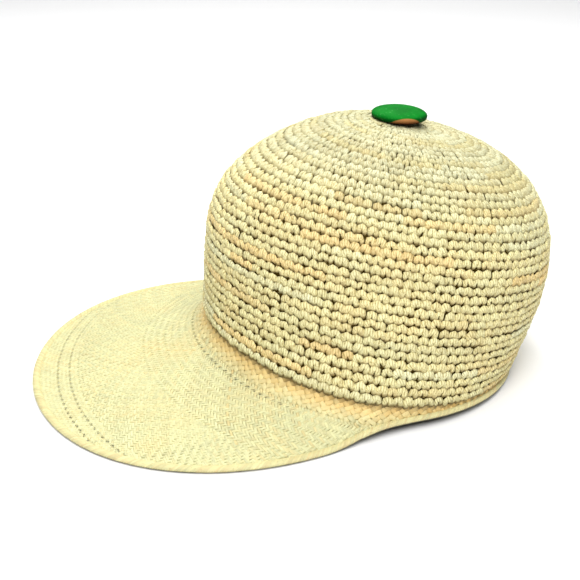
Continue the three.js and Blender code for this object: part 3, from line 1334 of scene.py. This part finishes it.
class ShaderTree:
    """A tree of shader nodes, with short ways to add to it."""

    BUMP_DEPTH = 0.0003

    def __init__(self, tree: bpy.types.NodeTree) -> None:
        """Takes a tree.

        Args:
            tree: the tree.
        """
        self.tree = tree

    def add(self, kind: str, inputs: Inputs | None = None, **settings: object) -> bpy.types.Node:
        """Adds a node.

        Args:
            kind: node type without its ShaderNode prefix.
            inputs: values or sockets for its inputs, by name or number.
            settings: properties of the node.

        Returns:
            The node.
        """
        node = self.tree.nodes.new("ShaderNode" + kind)
        for name, value in settings.items():
            setattr(node, name, value)
        for name, value in (inputs or {}).items():
            if isinstance(value, Socket):
                self.tree.links.new(value, node.inputs[name])
            else:
                node.inputs[name].default_value = value
        return node

    def math(self, operation: str, *values: float | Socket, clamp: bool = False) -> Socket:
        """Result of a math node on values or sockets."""
        return self.add("Math", dict(enumerate(values)), operation=operation, use_clamp=clamp).outputs[0]

    def times(self, a: Socket, b: float | Socket, clamp: bool = False) -> Socket:
        """Product of two values."""
        return self.math("MULTIPLY", a, b, clamp=clamp)

    def minus(self, a: float | Socket, b: float | Socket, clamp: bool = False) -> Socket:
        """Difference of two values."""
        return self.math("SUBTRACT", a, b, clamp=clamp)

    def above(self, value: Socket, start: float, gain: float) -> Socket:
        """How far a value lies above a start, times a gain, from 0 to 1."""
        return self.times(self.minus(value, start, clamp=True), gain, clamp=True)

    def noise(self, place: Socket, scale: float, detail: float, roughness: float = 0.5) -> Socket:
        """Cloudy noise from 0 to 1 at a place."""
        inputs = {"Vector": place, "Scale": scale, "Detail": detail, "Roughness": roughness}
        return self.add("TexNoise", inputs).outputs["Fac"]

    def mix(self, share: float | Socket, a: Colour | Socket, b: Colour | Socket, blend: str = "MIX") -> Socket:
        """The first colour mixed with a share of the second."""
        inputs = {0: share, 6: a, 7: b}
        return self.add("Mix", inputs, data_type="RGBA", blend_type=blend).outputs[2]

    def surface(self, colour: Socket, rough: Socket, height: Socket, bump: float, gloss: float) -> None:
        """Ends the tree with a surface.

        Args:
            colour: its colour.
            rough: its roughness.
            height: its relief.
            bump: strength of the relief.
            gloss: level of the mirror-like light.
        """
        relief = self.add("Bump", {"Height": height, "Strength": bump, "Distance": self.BUMP_DEPTH})
        shader = self.add(
            "BsdfPrincipled",
            {
                "Base Color": colour,
                "Roughness": rough,
                "Normal": relief.outputs[0],
                "Specular IOR Level": gloss,
            },
        )
        self.add("OutputMaterial", {0: shader.outputs[0]})


def start_material(name: str) -> tuple[bpy.types.Material, ShaderTree]:
    """Starts a material without nodes.

    Args:
        name: name of the material.

    Returns:
        The material and its tree.
    """
    material = bpy.data.materials.new(name)
    material.use_nodes = True
    material.node_tree.nodes.clear()
    return material, ShaderTree(material.node_tree)


@dataclass(frozen=True)
class Spots:
    """Spots where a noise rises above a start."""

    scale: float
    detail: float
    start: float
    gain: float

    def add_to(self, tree: ShaderTree, place: Socket) -> Socket:
        """Strength of the spots at a place, from 0 to 1."""
        return tree.above(tree.noise(place, self.scale, self.detail), self.start, self.gain)


@dataclass(frozen=True)
class StrawFibre:
    """What the straws share: colour by strand, fibres along it, plies, rims, knots and age; the grooves between
    plies and the rims are darkened as painted shade.
    """

    along_scale: float = 0.35
    across_scale: float = 3.2
    detail: float = 3.0
    roughness: float = 0.6
    warm_gain: float = 0.75
    pale_gain: float = -0.8
    tone_gain: float = 0.14
    streak_start: float = 0.5
    streak_gain: float = 1.6
    age: Spots = Spots(42.0, 2.0, 0.47, 0.6)
    flecks: Spots = Spots(620.0, 1.0, 0.63, 2.4)
    open_rims: Spots = Spots(300.0, 1.0, 0.44, 7.0)
    rim_start: float = 0.7
    rim_gain: float = 4.0
    ply_drift: float = 1.2
    ply_shift: float = 0.9
    ply_turns: float = 4.4
    ply_power: float = 0.6
    rough_base: float = 0.38
    rough_fibre: float = 0.25
    rough_dryness: float = 0.18
    fibre_height: float = 0.5

    def make(self) -> bpy.types.NodeTree:
        """Makes the node group.

        Returns:
            Group with Color, Roughness and Height.
        """
        group = bpy.data.node_groups.new("straw_fibre", "ShaderNodeTree")
        for name in ("Body", "Pale", "Warm", "Dark"):
            group.interface.new_socket(name=name, in_out="INPUT", socket_type="NodeSocketColor")
        for name in ("Tone", "Warmth", "Along", "Across", "Fibre", "Dryness", "Plies", "Rims"):
            group.interface.new_socket(name=name, in_out="INPUT", socket_type="NodeSocketFloat")
        for name, kind in (("Color", "Color"), ("Roughness", "Float"), ("Height", "Float")):
            group.interface.new_socket(name=name, in_out="OUTPUT", socket_type="NodeSocket" + kind)
        get = group.nodes.new("NodeGroupInput").outputs
        result = group.nodes.new("NodeGroupOutput").inputs
        tree = ShaderTree(group)
        run, lane = tree.times(get["Along"], self.along_scale), tree.times(get["Across"], self.across_scale)
        lanes = tree.add("CombineXYZ", {0: run, 1: lane, 2: get["Tone"]}).outputs[0]
        fibre = tree.noise(lanes, 1.0, self.detail, self.roughness)
        place = tree.add("TexCoord").outputs["Object"]
        colour = tree.mix(tree.times(get["Warmth"], self.warm_gain, clamp=True), get["Body"], get["Warm"])
        colour = tree.mix(tree.times(get["Warmth"], self.pale_gain, clamp=True), colour, get["Pale"])
        light = tree.math("MULTIPLY_ADD", get["Tone"], self.tone_gain, 1.0)
        grey = tree.add("CombineColor", {0: light, 1: light, 2: light}).outputs[0]
        colour = tree.mix(1.0, colour, grey, "MULTIPLY")
        low = tree.times(tree.minus(fibre, self.streak_start, clamp=True), get["Fibre"])
        colour = tree.mix(tree.times(low, self.streak_gain, clamp=True), colour, get["Dark"])
        colour = tree.mix(self.age.add_to(tree, place), colour, get["Warm"])
        colour = tree.mix(self.flecks.add_to(tree, place), colour, get["Dark"])
        groove = self.grooves(tree, get, fibre)
        # Painted shade: the grooves between the plies are darkened in colour as well as sunk in the relief.
        colour = tree.mix(groove, colour, get["Dark"])
        # Painted shade: strand rims darkened in random patches, where the weave opens between strands.
        outer = tree.above(tree.math("ABSOLUTE", get["Across"]), self.rim_start, self.rim_gain)
        rim = tree.times(tree.times(outer, get["Rims"]), self.open_rims.add_to(tree, place))
        colour = tree.mix(rim, colour, get["Dark"])
        rough = tree.math("MULTIPLY_ADD", fibre, self.rough_fibre, self.rough_base)
        rough = tree.math("ADD", rough, tree.times(get["Dryness"], self.rough_dryness), clamp=True)
        height = tree.minus(tree.times(fibre, self.fibre_height), groove)
        for name, socket in (("Color", colour), ("Roughness", rough), ("Height", height)):
            group.links.new(socket, result[name])
        return group

    def grooves(self, tree: ShaderTree, get: bpy.types.NodeOutputs, fibre: Socket) -> Socket:
        """Grooves between the plies of a strand.

        Args:
            tree: tree that takes the nodes.
            get: inputs of the group.
            fibre: noise of the fibres.

        Returns:
            Depth of the grooves, from 0 to 1.
        """
        drift = tree.times(tree.minus(fibre, 0.5), self.ply_drift)
        drift = tree.math("ADD", drift, tree.times(get["Tone"], self.ply_shift))
        turned = tree.times(tree.math("ADD", get["Across"], drift), self.ply_turns)
        ply = tree.math("POWER", tree.math("ABSOLUTE", tree.math("SINE", turned)), self.ply_power)
        return tree.times(tree.minus(1.0, ply), get["Plies"], clamp=True)


@dataclass(frozen=True)
class StrawFinish:
    """A natural straw, dressed strand by strand."""

    name: str
    body: Colour
    pale: Colour
    warm: Colour
    dark: Colour
    fibre: float = 0.5
    dryness: float = 0.5
    bump: float = 0.35
    plies: float = 0.0
    gloss: float = 0.3
    rims: float = 0.0

    def make(self, group: bpy.types.NodeTree) -> bpy.types.Material:
        """Makes the material.

        Args:
            group: straw fibre group.

        Returns:
            The material.
        """
        material, tree = start_material(self.name)
        read = {
            name.capitalize(): tree.add("Attribute", attribute_name=name).outputs["Fac"]
            for name in StrandMesh.CHANNELS
        }
        colours = {"Body": self.body, "Pale": self.pale, "Warm": self.warm, "Dark": self.dark}
        shares = {"Fibre": self.fibre, "Dryness": self.dryness, "Plies": self.plies, "Rims": self.rims}
        out = tree.add("Group", {**colours, **shares, **read}, node_tree=group).outputs
        tree.surface(out["Color"], out["Roughness"], out["Height"], self.bump, self.gloss)
        return material


@dataclass(frozen=True)
class NutFinish:
    """Polished nut, dyed green above, with the tan skin bare on part of the lower face and the lower side
    darkened as painted shade; lengths in metres.
    """

    name: str = "dyed_nut"
    dye: Colour = (0.001, 0.205, 0.014, 1.0)
    deep: Colour = (0.0, 0.055, 0.005, 1.0)
    speck: Colour = (0.12, 0.42, 0.13, 1.0)
    skin: Colour = (0.40, 0.18, 0.06, 1.0)
    skin_dark: Colour = (0.10, 0.03, 0.01, 1.0)
    grain_scale: float = 260.0
    grain_detail: float = 4.0
    grain_roughness: float = 0.6
    clouds: Spots = Spots(95.0, 2.0, 0.35, 1.5)
    specks: Spots = Spots(900.0, 1.0, 0.64, 3.0)
    skin_middle: float = -0.0003
    skin_half: float = 0.0088
    skin_rise: float = 1.3
    skin_gain: float = 7.0
    skin_raggedness: float = 1.2
    skin_shade: float = 1.5
    lower_shade_shift: float = 0.4
    lower_shade_gain: float = 2.0
    rough_base: float = 0.5
    rough_grain: float = 0.22
    rough_skin: float = 0.25
    bump: float = 0.12
    gloss: float = 0.05

    def make(self, button: Button) -> bpy.types.Material:
        """Makes the material.

        Args:
            button: the button that it dresses.

        Returns:
            The material.
        """
        material, tree = start_material(self.name)
        place = tree.add("TexCoord").outputs["Object"]
        origin = tuple(float(v) * METRES for v in button.origin())
        local = tree.add("VectorMath", {0: place, 1: origin}, operation="SUBTRACT").outputs[0]
        axes = tree.add("SeparateXYZ", {0: local}).outputs
        grain = tree.noise(place, self.grain_scale, self.grain_detail, self.grain_roughness)
        rim = button.thickness * button.rim_share * METRES
        below = tree.math("DIVIDE", tree.minus(rim, axes[2]), rim)
        patch = self.patch(tree, axes, grain, rim)
        # Painted shade: the lower side of the button is darkened towards the deep green, which the dye's clouds
        # also use.
        lower_shade = tree.times(tree.math("ADD", below, self.lower_shade_shift), self.lower_shade_gain, clamp=True)
        deep = tree.math("MAXIMUM", self.clouds.add_to(tree, place), lower_shade)
        green = tree.mix(deep, self.dye, self.deep)
        green = tree.mix(self.specks.add_to(tree, place), green, self.speck)
        tan = tree.mix(tree.times(below, self.skin_shade, clamp=True), self.skin, self.skin_dark)
        rough = tree.math("MULTIPLY_ADD", grain, self.rough_grain, self.rough_base)
        rough = tree.math("ADD", rough, tree.times(patch, self.rough_skin), clamp=True)
        tree.surface(tree.mix(patch, green, tan), rough, grain, self.bump, self.gloss)
        return material

    def patch(self, tree: ShaderTree, axes: bpy.types.NodeOutputs, grain: Socket, rim: float) -> Socket:
        """Patch of bare skin: an arch on the flank that faces left, with a ragged edge.

        Args:
            tree: tree that takes the nodes.
            axes: place from the middle of the button's lower face.
            grain: noise of the nut.
            rim: height of the button's rim.

        Returns:
            1 on the patch, 0 off it.
        """
        climb = tree.math("DIVIDE", axes[2], rim * self.skin_rise)
        sideways = tree.math("DIVIDE", tree.minus(axes[1], self.skin_middle), self.skin_half)
        arch = tree.minus(tree.minus(1.0, tree.times(sideways, sideways)), tree.times(climb, climb))
        ragged = tree.times(tree.minus(grain, 0.5), self.skin_raggedness)
        patch = tree.math("ADD", tree.times(arch, self.skin_gain), ragged, clamp=True)
        return tree.times(patch, tree.math("GREATER_THAN", axes[0], 0.0), clamp=True)


CROCHET_STRAW = StrawFinish(
    "crochet_straw",
    body=(0.84, 0.79, 0.43, 1),
    pale=(0.85, 0.87, 0.58, 1),
    warm=(0.87, 0.64, 0.29, 1),
    dark=(0.32, 0.22, 0.04, 1),
    plies=0.95,
)
WOVEN_STRAW = StrawFinish(
    "woven_straw",
    body=(0.63, 0.62, 0.345, 1),
    pale=(0.69, 0.69, 0.44, 1),
    warm=(0.80, 0.53, 0.18, 1),
    dark=(0.34, 0.29, 0.10, 1),
    fibre=0.7,
    dryness=0.4,
    bump=0.4,
    rims=0.55,
)
EDGE_STRAW = StrawFinish(
    "edge_straw",
    body=(0.66, 0.63, 0.33, 1),
    pale=(0.70, 0.68, 0.40, 1),
    warm=(0.62, 0.42, 0.19, 1),
    dark=(0.30, 0.22, 0.08, 1),
    bump=0.3,
    rims=0.5,
)
# Near-black straw for the cores of crown and edge: painted shade that shows in the gaps.
SHADED_STRAW = StrawFinish(
    "shaded_straw",
    body=(0.055, 0.036, 0.004, 1),
    pale=(0.07, 0.05, 0.006, 1),
    warm=(0.055, 0.03, 0.004, 1),
    dark=(0.03, 0.016, 0.002, 1),
    fibre=0.6,
    dryness=0.9,
    bump=0.3,
    gloss=0.04,
)
STRAW_THREAD = StrawFinish(
    "straw_thread",
    body=(0.66, 0.48, 0.22, 1),
    pale=(0.75, 0.62, 0.36, 1),
    warm=(0.55, 0.34, 0.14, 1),
    dark=(0.25, 0.14, 0.05, 1),
    fibre=0.7,
    dryness=0.7,
    bump=0.4,
)


def dress(pieces: list[bpy.types.Object], material: bpy.types.Material) -> None:
    """Gives the pieces a material.

    Args:
        pieces: pieces to dress.
        material: what they get.
    """
    for piece in pieces:
        piece.data.materials.clear()
        piece.data.materials.append(material)


# Studio


@dataclass(frozen=True)
class Lamp:
    """Square soft light that faces the cap; lengths in metres, power in watts."""

    name: str
    place: Point
    size: float
    power: float
    target: Point = (0.0, 0.0, 0.06)

    def build(self) -> None:
        """Adds the light to the scene."""
        data = bpy.data.lights.new(self.name, "AREA")
        data.size = self.size
        data.energy = self.power
        lamp = bpy.data.objects.new(self.name, data)
        bpy.context.scene.collection.objects.link(lamp)
        lamp.location = self.place
        lamp.rotation_euler = (Vector(self.place) - Vector(self.target)).to_track_quat("Z", "Y").to_euler()


@dataclass
class Studio:
    """Pale table, broad light and key light from behind the cap, and fill from the camera's side."""

    camera_at: Point = (0.52735, -0.088117, 0.284602)
    camera_to: Point = (0.003911, 0.000135, 0.044992)
    roll: float = math.radians(-0.145)
    focal_pixels: float = 1006.088
    image_pixels: float = 580.0
    sensor: float = 36.0
    nearest: float = 0.01
    farthest: float = 20.0
    lamps: tuple[Lamp, ...] = (
        Lamp("overhead", (-0.8, 0.0, 2.0), 3.0, 46.0),
        Lamp("key", (-0.85, 0.0, 1.2), 0.45, 6.5),
        Lamp("fill", (0.78, -0.1, 1.15), 0.9, 19.5),
    )
    backdrop: Colour = (1.0, 1.0, 1.0, 1.0)
    backdrop_strength: float = 0.14
    table_size: float = 8.0
    table_colour: Colour = (0.92, 0.92, 0.92, 1.0)
    table_roughness: float = 0.7
    table_gloss: float = 0.1

    def build(self) -> None:
        """Makes the camera, the table, the lights and the backdrop."""
        self.camera()
        self.table()
        for lamp in self.lamps:
            lamp.build()
        scene = bpy.context.scene
        scene.world = bpy.data.worlds.new("studio")
        scene.world.use_nodes = True
        background = scene.world.node_tree.nodes["Background"]
        background.inputs[0].default_value = self.backdrop
        background.inputs[1].default_value = self.backdrop_strength
        scene.view_settings.view_transform = "Standard"

    def camera(self) -> None:
        """Makes the camera."""
        data = bpy.data.cameras.new("camera")
        data.sensor_width = self.sensor
        data.lens = self.sensor * self.focal_pixels / self.image_pixels
        data.clip_start, data.clip_end = self.nearest, self.farthest
        camera = bpy.data.objects.new("camera", data)
        bpy.context.scene.collection.objects.link(camera)
        place, target = Vector(self.camera_at), Vector(self.camera_to)
        back = (place - target).normalized()
        right = Vector((0, 0, 1)).cross(back).normalized()
        up = back.cross(right)
        c, s = math.cos(self.roll), math.sin(self.roll)
        right, up = right * c + up * s, up * c - right * s
        turn = Matrix((right, up, back)).transposed().to_4x4()
        camera.matrix_world = Matrix.Translation(place) @ turn
        bpy.context.scene.camera = camera

    def table(self) -> None:
        """Makes the table top."""
        bpy.ops.mesh.primitive_plane_add(size=self.table_size, location=(0, 0, 0))
        table = bpy.context.object
        table.name = "table"
        material = bpy.data.materials.new("table_white")
        material.use_nodes = True
        shader = material.node_tree.nodes["Principled BSDF"]
        shader.inputs["Base Color"].default_value = self.table_colour
        shader.inputs["Roughness"].default_value = self.table_roughness
        shader.inputs["Specular IOR Level"].default_value = self.table_gloss
        table.data.materials.append(material)


def report(pieces: list[bpy.types.Object]) -> None:
    """Logs the pieces with their triangles.

    Args:
        pieces: pieces of a sub-assembly.
    """
    for piece in pieces:
        triangles = sum(len(p.vertices) - 2 for p in piece.data.polygons)
        LOG.info("%s: %d triangles", piece.name, triangles)


def main() -> None:
    """Builds and dresses the cap, sets up the studio and notes the sizes."""
    logging.basicConfig(level=logging.INFO)
    form = CapForm()
    straw = StrawFibre().make()
    shaded = SHADED_STRAW.make(straw)
    crown = Crown(form).build()
    dress(crown[:-1], CROCHET_STRAW.make(straw))
    dress(crown[-1:], shaded)
    report(crown)
    peak = PeakAndBand(PeakSheet(form)).build()
    dress(peak, WOVEN_STRAW.make(straw))
    report(peak)
    edge = Edge(form).build()
    dress(edge[:1], EDGE_STRAW.make(straw))
    dress(edge[1:], shaded)
    report(edge)
    button = Button(form)
    knob, tie = button.build(), ButtonTie(button).build()
    dress([knob], NutFinish().make(button))
    dress([tie], STRAW_THREAD.make(straw))
    report([knob, tie])
    Studio().build()


if __name__ == "__main__":
    main()
